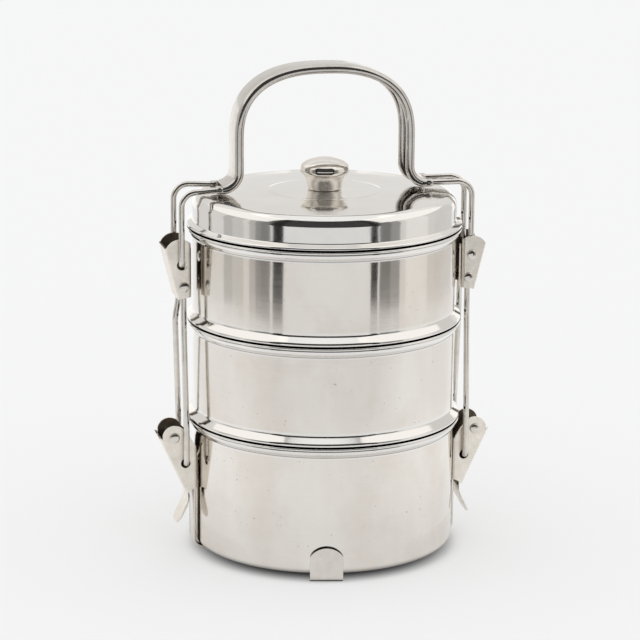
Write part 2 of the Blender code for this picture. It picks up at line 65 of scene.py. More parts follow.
GRIP_CENTRE = (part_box("handle_grip")[0].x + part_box("handle_grip")[1].x) / 2
RISER_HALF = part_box("base_strap")[1].y
TAB_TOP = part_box("cross_strap")[1].z

# ---- sizes of the sheet and wire work ----
SHEET = 0.0008
PLATE = 0.0010
STRAP = 0.0012
WIRE = 0.0015              # radius of every wire
WALL = RIM - 0.0031
NEST = RIM - 0.0050        # the stepped-in bottoms that sit in the tier below
EDGE = 0.0005              # radius of the outer edges of rims, skirts and lid
SLOT = 0.0006              # how far the skirts' undersides are dished above the rim below
SHOULDER = 0.0058          # radius of the lid's shoulder
ROLL = 0.00235             # outer radius of the grip's rolled edges
ROLL_SHEET = 0.00055
FOOT_Z = LID_TOP + 0.0028  # height of the wires over the lid
ARCH_HALF = 0.04445
ARCH_RISE = 0.0350         # height of the rounded part of the arch
ARCH_POWER = 2.5           # exponent of the arch's superellipse
FOOT_BEND = 0.0087
SHOULDER_BEND = 0.0076
PIN_BEND = 0.0022
LATCH_HALF = 0.0100        # half widths of the latches and levers along Y
LEVER_HALF = 0.0090
HEAD_RADIUS, HEAD_HEIGHT = 0.0026, 0.0010
RIVET_PIN = 0.0017
OUTSIDE = 0.0119           # |y| of a wire that runs outside a latch's plates
INSIDE = 0.0072            # |y| of a wire that runs between them
HOOK_OFFSET = 0.0120       # |y| of the link wires beside the levers
HOOK_RISE = 0.0180
HOOK_IN, HOOK_DROP = 0.0056, 0.0133   # from a lever's rivet to its link wires' hooks
LINK_BOW = 0.0018
RISER_FACE = 0.0699
KNEE_DROP = 0.0142         # from the lever's rivet down to the riser's knee
BARREL_BORE = 0.00205
CROSS_HALF = 0.0084
CROSS_FACE = 0.0694
CROSS_SKEW = -11.0         # degrees from square to the base strap
TAB_RISE = 0.0044          # height of the tab's round top
TAB_FOOT = 0.0010          # height of the painted shade line along the tab's foot
GAP = 0.0003

SIDES = {"left": -1, "right": 1}
ROWS = {"front": -1, "back": 1}
CAMERA_TURN = 13              # the camera stands this many degrees to the left of the front
ROLL_ANGLE = 0.42             # and leans by this many degrees
SATIN, POLISHED, PAINTED_SHADE = 0.0, 1.0, 2.0    # values of the polish attribute; the third paints shade into gaps and creases
# colour of the painted shade in gaps, creases and under the bottom's corner
PAINTED_SHADE_TONE = (0.012, 0.010, 0.009)


# ---- camera ----
def placed(name, data):
    obj = bpy.data.objects.new(name, data)
    bpy.context.collection.objects.link(obj)
    return obj


def add_camera():
    """Seen from the left of the front, from above the handle."""
    turn, tilt = radians(CAMERA_TURN), radians(13.64)
    distance, sideways, height = 1.35, -0.00184, 0.4465
    data = bpy.data.cameras.new("camera")
    data.sensor_width = 36.0
    data.lens = 150.98
    data.clip_start = 0.05
    data.clip_end = 60.0
    camera = placed("camera", data)
    spin = Matrix.Rotation(-turn, 3, "Z")
    forward = spin @ Vector((0, cos(tilt), -sin(tilt)))
    right = spin @ Vector((1, 0, 0))
    up = right.cross(forward)
    matrix = Matrix((right, up, -forward)).transposed().to_4x4()
    matrix.translation = spin @ Vector((sideways, -distance, height))
    camera.matrix_world = matrix @ Matrix.Rotation(radians(ROLL_ANGLE), 4, "Z")
    bpy.context.scene.camera = camera


# ---- materials ----
class Shader:
    """A metal material and short ways to add nodes to it."""

    def __init__(self, name, roughness):
        self.material = bpy.data.materials.new(name)
        self.material.use_nodes = True
        self.tree = self.material.node_tree
        self.bsdf = self.tree.nodes["Principled BSDF"]
        self.bsdf.inputs["Metallic"].default_value = 1.0
        self.bsdf.inputs["Roughness"].default_value = roughness
        self.point = self.node("ShaderNodeTexCoord").outputs["Object"]

    def node(self, kind, inputs=None, **settings):
        node = self.tree.nodes.new(kind)
        for key, value in settings.items():
            setattr(node, key, value)
        for key, value in (inputs or {}).items():
            if isinstance(value, bpy.types.NodeSocket):
                self.tree.links.new(value, node.inputs[key])
            else:
                node.inputs[key].default_value = value
        return node

    def math(self, operation, a, b=0.0):
        return self.node("ShaderNodeMath", {0: a, 1: b}, operation=operation).outputs[0]

    def ramp(self, value, low, high, to_low=0.0, to_high=1.0):
        inputs = {"Value": value, "From Min": low, "From Max": high, "To Min": to_low, "To Max": to_high}
        return self.node("ShaderNodeMapRange", inputs).outputs["Result"]

    def noise(self, point, scale, detail=3.0, rough=0.5):
        inputs = {"Vector": point, "Scale": scale, "Detail": detail, "Roughness": rough}
        return self.node("ShaderNodeTexNoise", inputs).outputs["Fac"]

    def mix(self, factor, low, high):
        """Blend two colours, each a socket or an (r, g, b)."""
        inputs = {0: factor}
        for key, value in ((6, low), (7, high)):
            inputs[key] = value if isinstance(value, bpy.types.NodeSocket) else (*value, 1.0)
        return self.node("ShaderNodeMix", inputs, data_type="RGBA").outputs[2]

    def blend(self, noise, low, high):
        """Two colours, patchy as the noise is."""
        return self.mix(self.ramp(noise, 0.35, 0.7), low, high)

    def polish(self):
        return self.node("ShaderNodeAttribute", attribute_name="polish").outputs["Fac"]

    def vector(self, operation, *values):
        return self.node("ShaderNodeVectorMath", dict(enumerate(values)), operation=operation)

    def flat(self):
        return self.vector("MULTIPLY", self.point, (1, 1, 0)).outputs[0]

    def turned(self, around, along):
        """Coordinates that change slowly round the Z axis and quickly along it."""
        unit = self.vector("NORMALIZE", self.flat()).outputs[0]
        ring = self.vector("MULTIPLY", unit, (around,) * 3).outputs[0]
        axial = self.vector("MULTIPLY", self.point, (0, 0, along)).outputs[0]
        return self.vector("ADD", ring, axial).outputs[0]

    def radius(self):
        return self.vector("LENGTH", self.flat()).outputs["Value"]

    def bump(self, height, distance, below=None):
        inputs = {"Height": height, "Distance": distance, "Strength": 1.0}
        if below:
            inputs["Normal"] = below
        return self.node("ShaderNodeBump", inputs).outputs["Normal"]

    def colour(self, socket):
        self.tree.links.new(socket, self.bsdf.inputs["Base Color"])

    def roughness(self, socket):
        self.tree.links.new(socket, self.bsdf.inputs["Roughness"])

    def normal(self, socket):
        self.tree.links.new(socket, self.bsdf.inputs["Normal"])


def vessel_material():
    """Turned steel: satin walls with fine rings round them, polished rims, faint stains and specks, and
    painted shade in the rims' gaps and creases and under the bottom's corner.
    """
    s = Shader("vessel_steel", 0.2)
    finish = s.polish()
    polish = s.ramp(finish, SATIN, POLISHED)
    # painted shade: polish values past POLISHED darken the colour towards the shade tone
    grime = s.ramp(finish, POLISHED, PAINTED_SHADE)
    bands = s.noise(s.turned(1.0, 6.0), 2.3, 3.0, 0.55)
    stains = s.noise(s.point, 34.0, 4.0, 0.6)
    rings = s.noise(s.turned(0.8, 2600.0), 1.0, 2.0, 0.6)
    specks = s.ramp(s.noise(s.point, 620.0, 1.0), 0.74, 0.80)
    tone = s.mix(s.ramp(bands, 0.35, 0.65), (0.80, 0.768, 0.722), (0.745, 0.70, 0.645))
    tone = s.mix(s.ramp(stains, 0.50, 0.72, 0.0, 0.7), tone, (0.705, 0.645, 0.58))
    tone = s.mix(s.ramp(rings, 0.35, 0.70, 0.0, 0.08), tone, (0.60, 0.56, 0.51))
    tone = s.mix(s.math("MULTIPLY", specks, 0.5), tone, (0.30, 0.27, 0.24))
    tone = s.mix(polish, tone, (0.80, 0.78, 0.75))
    s.colour(s.mix(grime, tone, PAINTED_SHADE_TONE))
    satin = s.math("ADD", s.ramp(stains, 0.3, 0.7, 0.085, 0.125), s.ramp(rings, 0.3, 0.7, -0.015, 0.02))
    fine = s.ramp(rings, 0.3, 0.7, 0.08, 0.12)
    s.roughness(s.node("ShaderNodeMix", {0: polish, 2: satin, 3: fine}, data_type="FLOAT").outputs[0])
    s.bsdf.inputs["Anisotropic"].default_value = 0.5
    s.bsdf.inputs["Anisotropic Rotation"].default_value = 0.25
    tangent = s.node("ShaderNodeTangent", direction_type="RADIAL", axis="Z").outputs["Tangent"]
    s.tree.links.new(tangent, s.bsdf.inputs["Tangent"])
    waves = s.bump(s.noise(s.point, 20.0, 2.0), 0.00025)
    s.normal(s.bump(rings, 0.000002, waves))
    return s.material


def lid_material():
    """Polished steel with concentric polishing marks and a soft haze, and painted shade in the slot under
    its skirt.
    """
    s = Shader("lid_steel", 0.08)
    marks = s.noise(s.node("ShaderNodeCombineXYZ", {0: s.radius()}).outputs[0], 2600.0, 2.0)
    haze = s.noise(s.point, 40.0, 4.0, 0.6)
    tone = s.blend(haze, (0.80, 0.785, 0.765), (0.755, 0.735, 0.705))
    tone = s.mix(s.ramp(marks, 0.45, 0.75, 0.0, 0.10), tone, (0.62, 0.59, 0.55))
    # painted shade in the slot under the skirt
    s.colour(s.mix(s.ramp(s.polish(), POLISHED, PAINTED_SHADE), tone, PAINTED_SHADE_TONE))
    s.roughness(s.math("ADD", s.ramp(haze, 0.3, 0.7, 0.055, 0.11), s.ramp(marks, 0.3, 0.7, -0.01, 0.02)))
    waves = s.bump(s.noise(s.point, 24.0, 2.0), 0.00016)
    s.normal(s.bump(marks, 0.000002, waves))
    return s.material


def knob_material():
    """Turned steel with faint rings, a little warmer than the lid: polished cap, paler satin neck."""
    s = Shader("knob_steel", 0.08)
    rings = s.noise(s.turned(1.0, 2200.0), 1.0, 2.0)
    haze = s.noise(s.point, 160.0, 3.0)
    tone = s.blend(haze, (0.78, 0.75, 0.705), (0.70, 0.66, 0.61))
    polish = s.polish()
    s.colour(s.mix(s.ramp(polish, SATIN, POLISHED), (0.95, 0.90, 0.83), tone))
    neck = s.ramp(polish, SATIN, POLISHED, 0.40, 0.07)
    s.roughness(s.math("ADD", s.ramp(haze, 0.3, 0.7, -0.015, 0.03), neck))
    s.normal(s.bump(s.math("ADD", rings, haze), 0.000004))
    return s.material


def wire_material(name="wire_steel", bright=(0.72, 0.695, 0.655), dull=(0.60, 0.565, 0.515)):
    """Drawn wire and rolled strip: warm, with small dents and rubbed spots."""
    s = Shader(name, 0.12)
    rubbed = s.noise(s.point, 150.0, 4.0, 0.65)
    grain = s.noise(s.point, 1400.0, 2.0)
    s.colour(s.blend(rubbed, bright, dull))
    s.roughness(s.math("ADD", s.ramp(rubbed, 0.3, 0.75, 0.08, 0.16), s.ramp(grain, 0.3, 0.7, -0.015, 0.03)))
    dents = s.bump(s.noise(s.point, 80.0, 2.0), 0.00004)
    s.normal(s.bump(grain, 0.000003, dents))
    return s.material


def plate_material():
    """Pressed plate: satin, warm grey, with fine pits and handling marks."""
    s = Shader("plate_steel", 0.32)
    marks = s.noise(s.point, 260.0, 4.0, 0.65)
    grain = s.noise(s.point, 2600.0, 2.0)
    pits = s.ramp(s.noise(s.point, 900.0, 1.0), 0.72, 0.78)
    tone = s.blend(marks, (0.83, 0.78, 0.71), (0.75, 0.70, 0.625))
    s.colour(s.mix(s.math("MULTIPLY", pits, 0.6), tone, (0.32, 0.28, 0.23)))
    s.roughness(s.math("ADD", s.ramp(marks, 0.3, 0.7, 0.26, 0.36), s.ramp(grain, 0.3, 0.7, -0.03, 0.05)))
    s.normal(s.bump(grain, 0.00001, s.bump(marks, 0.00005)))
    return s.material


def edge_material():
    """Sheared and rubbed edges of the plates, brighter than their faces."""
    s = Shader("plate_edge_steel", 0.15)
    marks = s.noise(s.point, 420.0, 3.0)
    s.colour(s.blend(marks, (0.82, 0.80, 0.76), (0.70, 0.67, 0.61)))
    s.roughness(s.ramp(marks, 0.3, 0.7, 0.12, 0.24))
    return s.material


def inside_material():
    """Insides of the pressed plates, never polished: dark brown, painted shade inside the channel."""
    s = Shader("plate_inside_steel", 0.45)
    marks = s.noise(s.point, 300.0, 4.0, 0.6)
    s.colour(s.blend(marks, (0.20, 0.165, 0.13), (0.12, 0.095, 0.07)))
    s.roughness(s.ramp(marks, 0.3, 0.7, 0.38, 0.55))
    s.normal(s.bump(marks, 0.00004))
    return s.material


def grime_material():
    """Painted shade: dark lines where the tab lies against the container and along its foot."""
    s = Shader("grime", 0.5)
    marks = s.noise(s.point, 500.0, 3.0)
    s.colour(s.blend(marks, (0.035, 0.028, 0.022), (0.09, 0.075, 0.06)))
    return s.material


def strap_material():
    """Cold-rolled strip with marks along it."""
    s = Shader("strap_steel", 0.16)
    marks = s.noise(s.point, 110.0, 4.0, 0.6)
    grain = s.noise(s.point, 1800.0, 2.0)
    s.colour(s.blend(marks, (0.73, 0.70, 0.65), (0.65, 0.61, 0.55)))
    s.roughness(s.math("ADD", s.ramp(marks, 0.3, 0.7, 0.12, 0.22), s.ramp(grain, 0.3, 0.7, -0.02, 0.03)))
    s.normal(s.bump(grain, 0.00001, s.bump(marks, 0.00006)))
    return s.material


# ---- mesh tools ----
def ease(value):
    """Smooth step from 0 to 1, held outside that range."""
    value = min(max(value, 0.0), 1.0)
    return value * value * (3 - 2 * value)


def arc(centre, radius, start, stop, steps):
    """Points along a circle from one angle to another, in degrees."""
    points = []
    for i in range(steps + 1):
        angle = radians(start + (stop - start) * i / steps)
        points.append((centre[0] + radius * cos(angle), centre[1] + radius * sin(angle)))
    return points


def curve_through(points, steps):
    """Smooth (Catmull-Rom) curve through 2-D points."""
    ends = [points[0], *points, points[-1]]
    result = []
    for k in range(1, len(ends) - 2):
        p0, p1, p2, p3 = (Vector(p) for p in ends[k - 1:k + 3])
        for i in range(steps):
            t = i / steps
            value = 2 * p1 + (p2 - p0) * t + (2 * p0 - 5 * p1 + 4 * p2 - p3) * t * t
            value += (3 * p1 - p0 - 3 * p2 + p3) * t * t * t
            result.append(tuple(value / 2))
    return result + [tuple(points[-1])]


def mesh_of(name, bm, materials):
    mesh = bpy.data.meshes.new(name)
    bm.to_mesh(mesh)
    bm.free()
    for material in materials:
        mesh.materials.append(material)
    return mesh


def make_object(name, bm, materials, angle=38):
    """A smooth object whose edges beyond this angle stay sharp."""
    bmesh.ops.recalc_face_normals(bm, faces=bm.faces)
    mesh = mesh_of(name, bm, materials)
    mesh.shade_smooth()
    mesh.set_sharp_from_angle(angle=radians(angle))
    return placed(name, mesh)


def lathe(name, outline, materials, steps=160, angle=50):
    """Turn a closed outline of (radius, z) or (radius, z, polish) points about Z."""
    bm = bmesh.new()
    layer = bm.verts.layers.float.new("polish")
    rings = []
    for point in outline:
        radius, z, polish = (*point, POLISHED)[:3]
        rings.append([])
        for i in range(steps if radius > 1e-7 else 1):
            turn = 2 * pi * i / steps
            vert = bm.verts.new((radius * cos(turn), radius * sin(turn), z))
            vert[layer] = polish
            rings[-1].append(vert)
    for low, high in zip(rings, rings[1:] + rings[:1]):
        if len(low) == 1 and len(high) == 1:
            continue
        for i in range(steps):
            j = (i + 1) % steps
            quad = [low[i % len(low)], low[j % len(low)], high[j % len(high)], high[i % len(high)]]
            bm.faces.new(list(dict.fromkeys(quad)))
    return make_object(name, bm, materials, angle)


def loft(rings):
    """A closed solid through rings with equal numbers of points."""
    bm = bmesh.new()
    verts = [[bm.verts.new(point) for point in ring] for ring in rings]
    count = len(verts[0])
    for low, high in zip(verts, verts[1:]):
        for i in range(count):
            j = (i + 1) % count
            bm.faces.new((low[i], low[j], high[j], high[i]))
    bm.faces.new(verts[0])
    bm.faces.new(verts[-1])
    return bm


def tube(path, radii, sides=20):
    """A round bar along a path, with one radius at each point."""
    points = [Vector(p) for p in path]
    tangents = []
    for i, point in enumerate(points):
        before = points[max(i - 1, 0)]
        after = points[min(i + 1, len(points) - 1)]
        tangents.append(((point - before).normalized() + (after - point).normalized()).normalized())
    normal = tangents[0].orthogonal().normalized()
    rings = []
    for i, point in enumerate(points):
        if i:
            normal = tangents[i - 1].rotation_difference(tangents[i]) @ normal
        binormal = tangents[i].cross(normal)
        ring = []
        for k in range(sides):
            angle = 2 * pi * k / sides
            ring.append(point + radii[i] * (cos(angle) * normal + sin(angle) * binormal))
        rings.append(ring)
    return loft(rings)


def prism(outline, half):
    """A solid along Y, as far as 'half' both ways, from an (x, z) outline."""
    return loft([[(x, y, z) for x, z in outline] for y in (-half, half)])


def rod_y(point, radius):
    """A round cutter along Y."""
    sides = 40
    return prism(arc(point, radius, 0, 360 - 360 / sides, sides - 1), 0.02)


def normals(path):
    """Unit normals to the left of an (x, z) path."""
    found = []
    for i in range(len(path)):
        before = path[max(i - 1, 0)]
        after = path[min(i + 1, len(path) - 1)]
        dx, dz = after[0] - before[0], after[1] - before[1]
        length = hypot(dx, dz)
        found.append((-dz / length, dx / length))
    return found


def strap_section(half, thickness, edge):
    """Strap outline (across, outward) with rounded edges."""
    t = thickness / 2
    section = []
    for start, side, up in ((0, 1, 1), (90, -1, 1), (180, -1, -1), (270, 1, -1)):
        centre = (side * (half - edge), up * (t - edge))
        section += arc(centre, edge, start, start + 90, 3)
    return section


def flat_strap(path, thickness, halves, edge):
    """A strap along an (x, z) path; its width lies along Y."""
    rings = []
    for (x, z), (nx, nz), half in zip(path, normals(path), halves):
        section = strap_section(max(half, edge * 1.2), thickness, edge)
        rings.append([(x + n * nx, y, z + n * nz) for y, n in section])
    return loft(rings)


def boolean(obj, bm, operation="DIFFERENCE"):
    """Cut an object by another shape, trim it to that or unite the two."""
    tool = make_object("tool", bm, [obj.data.materials[0]])
    modifier = obj.modifiers.new("boolean", "BOOLEAN")
    modifier.operation = operation
    modifier.solver = "EXACT"
    modifier.object = tool
    apply_modifiers(obj)
    bpy.data.objects.remove(tool)


def apply_modifiers(obj):
    """Make the evaluated mesh the object's own."""
    graph = bpy.context.evaluated_depsgraph_get()
    mesh = bpy.data.meshes.new_from_object(obj.evaluated_get(graph))
    obj.modifiers.clear()
    obj.data = mesh


def round_edges(obj, width, limit, edge_slot=-1):
    """Bevel the edges sharper than 'limit' degrees; flat faces stay flat."""
    modifier = obj.modifiers.new("bevel", "BEVEL")
    modifier.width = width
    modifier.segments = 2
    modifier.limit_method = "ANGLE"
    modifier.angle_limit = radians(limit)
    modifier.material = edge_slot
    modifier.use_clamp_overlap = True
    apply_modifiers(obj)
    obj.data.shade_smooth()
    obj.data.set_sharp_from_angle(angle=radians(60))
    weights = obj.modifiers.new("weights", "WEIGHTED_NORMAL")
    weights.weight = 100
    weights.keep_sharp = True
    apply_modifiers(obj)


def shade_inside(obj, half, inner, web_line, sign):
    """Give the inner faces of a pressed channel the third material, painted shade."""
    (web_x, web_z), lean = web_line
    skin = PLATE * 0.9
    for face in obj.data.polygons:
        x, y, z = sign * face.center.x, abs(face.center.y), face.center.z
        web = web_x + lean * (z - web_z) - skin
        if y < half - skin and inner + skin < x < web:
            face.material_index = 2


def install(obj, body, nodes):
    """Let a piece ride a body in place of these CAD nodes."""
    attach(obj, body)
    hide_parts(*nodes)


# ---- containers, lid and knob ----
def coated(points, polish=POLISHED):
    """Give (radius, z) points one polish value."""
    return [(r, z, polish) for r, z in points]


def rim_outline(top):
    """Wall, flare, groove, lip and inner edge of a rolled rim."""
    top -= HALF_SEAM
    # values between POLISHED and the top one paint shade into the crease at the flare's foot and the groove
    # under the lip
    outline = [(WALL, top - 0.0066, SATIN), (WALL, top - 0.0056, 1.25)]
    outline += [(WALL + 0.00005, top - 0.0053, 1.65)]
    flare = curve_through([(WALL + 0.0002, top - 0.0050), (WALL + 0.0008, top - 0.0044),
                           (WALL + 0.0015, top - 0.0037), (WALL + 0.0019, top - 0.0030),
                           (WALL + 0.0021, top - 0.0021), (WALL + 0.0020, top - 0.0017)], 3)
    outline += coated(flare)
    outline += [(WALL + 0.0018, top - 0.0015, 1.8)]
    outline += coated(arc((RIM - 0.0006, top - 0.0007), 0.0006, -65, 50, 7))
    # the rim's top, under the skirt above, is painted as shade
    outline += coated([(RIM - 0.0005, top - 0.00005), (WALL + 0.0004, top - 0.00005)], PAINTED_SHADE)
    outline += [(WALL, top, POLISHED)]
    inner = WALL - SHEET
    outline += coated(arc((inner + 0.0006, top - 0.0006), 0.0006, 90, 180, 4))
    return outline + [(inner, top - 0.0040, SATIN)]


def skirt_outline(seam, lip, fold, fillet, slope):
    """Outer edge above a seam: dished underside, lip, fold, sloping ledge and fillet to the wall."""
    under = seam + HALF_SEAM
    outline = [(NEST, under, SATIN)]
    # the dished underside is painted as shade in the slot over the rim below
    outline += coated([(NEST + 0.0008, under + SLOT), (RIM - EDGE - 0.0001, under + SLOT)], PAINTED_SHADE)
    outline += coated(arc((RIM - EDGE, under + EDGE + SLOT), EDGE, -70, 0, 5))
    centre = (RIM - fold, seam + lip)
    outline += coated(arc(centre, fold, 0, slope, 8))
    turn = radians(slope)
    reach = RIM - WALL - (fold + fillet) * (1 - cos(turn))
    rise = centre[1] + (fold + fillet) * sin(turn) + reach / tan(turn)
    outline += coated(arc((WALL + fillet, rise), fillet, 180 + slope, 180, 7))
    return outline + [(WALL, rise + 0.0005, POLISHED)]


def bottom_outline(low):
    """Flat bottom with a round corner, wall and rim."""
    corner = 0.0043
    outline = [(0.0, low, SATIN)]
    # the underside of the bottom's corner is painted as shade, where it nears the floor
    outline += [(r, z, PAINTED_SHADE if r < WALL - 0.0032 else SATIN)
                for r, z in arc((WALL - corner, low + corner), corner, -90, 0, 12)]
    outline += rim_outline(SEAM_LOW)
    outline += coated(arc((WALL - corner, low + corner), corner - SHEET, 0, -90, 10), SATIN)
    return outline + [(0.0, low + SHEET, SATIN)]


def upper_outline(low, seam, top):
    """Stepped-in bottom, skirt that rests on the tier below, wall and rim."""
    corner = 0.0020
    outline = [(0.0, low, SATIN)]
    outline += coated(arc((NEST - corner, low + corner), corner, -90, 0, 8), SATIN)
    outline += skirt_outline(seam, 0.0014, 0.0016, 0.0015, 44)
    outline += [(WALL, outline[-1][1] + 0.0010, SATIN)]
    outline += rim_outline(top)
    outline += coated([(WALL - SHEET, seam + 0.0030), (NEST - SHEET, seam + 0.0012)], SATIN)
    outline += coated(arc((NEST - corner, low + corner), corner - SHEET, 0, -90, 5), SATIN)
    return outline + [(0.0, low + SHEET, SATIN)]


def add_containers(material):
    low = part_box("container_bottom")[0].z
    bottom = lathe("bottom_container_shell", bottom_outline(low), [material])
    install(bottom, "bottom_tier", ["container_bottom"])
    for word, seam, top in (("middle", SEAM_LOW, SEAM_MID), ("top", SEAM_MID, SEAM_TOP)):
        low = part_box("container_" + word)[0].z
        shell = lathe(word + "_container_shell", upper_outline(low, seam, top), [material])
        install(shell, word + "_tier", ["container_" + word])


def lid_surface(offset):
    """The lid's upper surface from the shoulder's foot to the centre, moved down by 'offset'."""
    plateau, shelf = LID_TOP, LID_TOP - 0.0004
    centre = (WALL - SHOULDER, shelf - 0.0008 - SHOULDER)
    surface = arc(centre, SHOULDER - offset, 0, 86, 18)
    crown = [(WALL - SHOULDER - 0.0006, shelf - 0.00078), (0.0560, shelf - 0.00050),
             (0.0510, shelf - 0.00022), (0.0465, shelf - 0.00005), (0.0430, shelf)]
    step = [(0.0300, shelf), (0.0291, shelf + 0.00005), (0.0284, plateau - 0.0001),
            (0.0274, plateau - 0.00001)]
    centre_flat = [(0.0260, plateau), (0.0150, plateau), (0.0060, plateau)]
    return surface + [(r, z - offset) for r, z in crown + step + centre_flat]


def add_lid(material):
    plug_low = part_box("lid")[0].z
    outline = arc((NEST - 0.0003, plug_low + 0.0003), 0.0003, -90, 0, 3)
    outline += skirt_outline(SEAM_TOP, 0.0011, 0.0010, 0.0008, 63)
    outline += [(WALL, LID_TOP - 0.0012 - SHOULDER - 0.0005)]
    outline += lid_surface(0.0) + [(0.0020, LID_TOP), (0.0020, LID_TOP - SHEET)]
    outline += [(r, z) for r, z in reversed(lid_surface(SHEET))]
    inner = NEST - SHEET
    outline += [(WALL - SHEET, SEAM_TOP + 0.0028), (inner, SEAM_TOP + 0.0012), (inner, plug_low)]
    lid = lathe("lid_shell", outline, [material], 192, 60)
    install(lid, "lid_body", ["lid"])


def add_knob(material, strap):
    """The mushroom knob, and the rivet head that holds it from under the lid."""
    base = LID_TOP + GAP / 2
    cap = KNOB_TOP - 0.0063
    side = [(0.0088, base + 0.0006), (0.0090, base + 0.0026), (0.0096, base + 0.0052),
            (0.0109, base + 0.0074), (KNOB_CAP - 0.0007, cap - 0.0016), (KNOB_CAP, cap - 0.0002),
            (KNOB_CAP - 0.0001, cap + 0.0014), (KNOB_CAP - 0.0010, cap + 0.0029),
            (KNOB_CAP - 0.0036, cap + 0.0046), (0.0050, KNOB_TOP - 0.0004), (0.0, KNOB_TOP)]
    outline = [(0.0, base, SATIN), (0.0084, base, SATIN)]
    outline += [(r, z, SATIN if z < cap - 0.0020 else POLISHED) for r, z in curve_through(side, 5)]
    knob = lathe("turned_knob", outline, [material], 96, 60)
    install(knob, "lid_body", ["lid_knob"])
    under = LID_TOP - SHEET - GAP / 2
    width, height = 0.0046, 0.0018
    dome = [(width * cos(a), under - height * sin(a)) for a in map(radians, range(81, -1, -9))]
    screw = lathe("knob_rivet_head", [(0.0, under - height), *dome, (0.0, under)], [strap], 48)
    install(screw, "lid_body", ["knob_screw"])


# ---- handle ----
def arch_path():
    """Centreline of the handle's rolls, from the foot at -X over the arch to the foot at +X."""
    steps = 64
    crown = GRIP_TOP - ROLL - ARCH_RISE
    foot_x = ARCH_HALF + FOOT_BEND
    left = [(-foot_x + x, z) for x, z in arc((0.0, FOOT_Z + FOOT_BEND), FOOT_BEND, -90, 0, 16)]
    path = left + [(-ARCH_HALF, crown - 0.0040)]
    for i in range(steps + 1):
        angle = pi - pi * i / steps
        c, s = cos(angle), sin(angle)
        x = ARCH_HALF * (1 if c >= 0 else -1) * abs(c) ** (2 / ARCH_POWER)
        path.append((x, crown + ARCH_RISE * s ** (2 / ARCH_POWER)))
    path += [(ARCH_HALF, crown - 0.0040)] + [(-x, z) for x, z in reversed(left)]
    return [(x + GRIP_CENTRE, z) for x, z in path]


def grip_section(squeeze):
    """Strap outline across its width: (along Y, outward) with both edges rolled round the wires."""
    radius = ROLL - squeeze
    centre = (GRIP_HALF - ROLL, 0.0)
    outer = arc(centre, radius, 90, -180, 18)
    lip = arc(centre, radius - ROLL_SHEET / 2, -184, -184, 1)[:1]
    inner = arc(centre, radius - ROLL_SHEET, -180, 90, 18)
    half = outer + lip + inner
    return half + [(-y, n) for y, n in half[::-1]]


def add_grip(material):
    """The bent strap; its rolls close a little at both ends."""
    path = arch_path()
    last = len(path) - 1
    rings = []
    for i, ((x, z), (nx, nz)) in enumerate(zip(path, normals(path))):
        ends = min(i, last - i)
        squeeze = 0.00022 * max(0.0, 1 - ends / 3)
        rings.append([(x + n * nx, y, z + n * nz) for y, n in grip_section(squeeze)])
    grip = make_object("rolled_grip", loft(rings), [material], 50)
    install(grip, "handle", ["handle_grip"])


def add_sleeves(material):
    """The grip's rolled edges run on a little way round the wires, past both feet."""
    foot = ARCH_HALF + FOOT_BEND
    outer, bore, length = ROLL - 0.00025, WIRE + 0.00012, 0.0034
    outline = [(bore, 0.0), (outer - 0.0001, 0.0), (outer, 0.0001), (outer, length - 0.0005),
               (outer - 0.00025, length), (bore, length)]
    for word, front in ROWS.items():
        for side, sign in SIDES.items():
            sleeve = lathe("grip_sleeve_{}_{}".format(side, word), outline, [material], 28)
            place = (GRIP_CENTRE + sign * (foot - 0.0001), (GRIP_HALF - ROLL) * front, FOOT_Z)
            turn = Matrix.Rotation(radians(90 * sign), 4, "Y")
            sleeve.data.transform(Matrix.Translation(place) @ turn)
            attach(sleeve, "handle")


def bend(corner, before, after, radius, steps):
    """Points round a square corner, coming along 'before' and leaving along 'after'."""
    corner, before, after = Vector(corner), Vector(before).normalized(), Vector(after).normalized()
    points = []
    for i in range(steps + 1):
        angle = pi / 2 * i / steps
        points.append(corner - before * radius * (1 - sin(angle)) + after * radius * (1 - cos(angle)))
    return points


def head_stations(shank):
    """A domed head at a pin's end: distances along the pin, with the radius at each."""
    collar = 0.0002
    stations = [(0.0, shank), (0.00001, HEAD_RADIUS - 0.0002), (0.0001, HEAD_RADIUS - 0.00004),
                (collar, HEAD_RADIUS)]
    for i in range(1, 8):
        angle = radians(90 * i / 7.4)    # the last ring stays wide enough to be capped
        stations.append((collar + (HEAD_HEIGHT - collar) * sin(angle), HEAD_RADIUS * cos(angle)))
    return stations


def pinned_end(point, wire_y, pin, head):
    """Lower end of a vertical wire: down, round a bend, and a pin across to y = pin, domed if peened."""
    x, z = point
    way = 1 if pin > wire_y else -1
    path = bend((x, wire_y, z), (0, 0, -1), (0, way, 0), PIN_BEND, 8)
    radii = [WIRE] * len(path)
    if head:
        stations = [(GAP + offset, radius) for offset, radius in head_stations(WIRE)]
    else:
        stations = [(-0.0004, WIRE), (-0.0001, WIRE * 0.93), (0.0, WIRE * 0.78)]
    for offset, radius in stations:
        path.append(Vector((x, pin + way * offset, z)))
        radii.append(radius)
    return path, radii


def side_pin(joint, sign):
    """(x, z) of a joint's axis at the side with this sign."""
    side = "right" if sign > 0 else "left"
    pos = PIVOTS[joint.format(side)]
    return pos[0], pos[2]


def hook_point(sign):
    """(x, z) of the hole that a link wire hooks into."""
    x, z = side_pin("lever_{}_throw", sign)
    return x - sign * HOOK_IN, z - HOOK_DROP


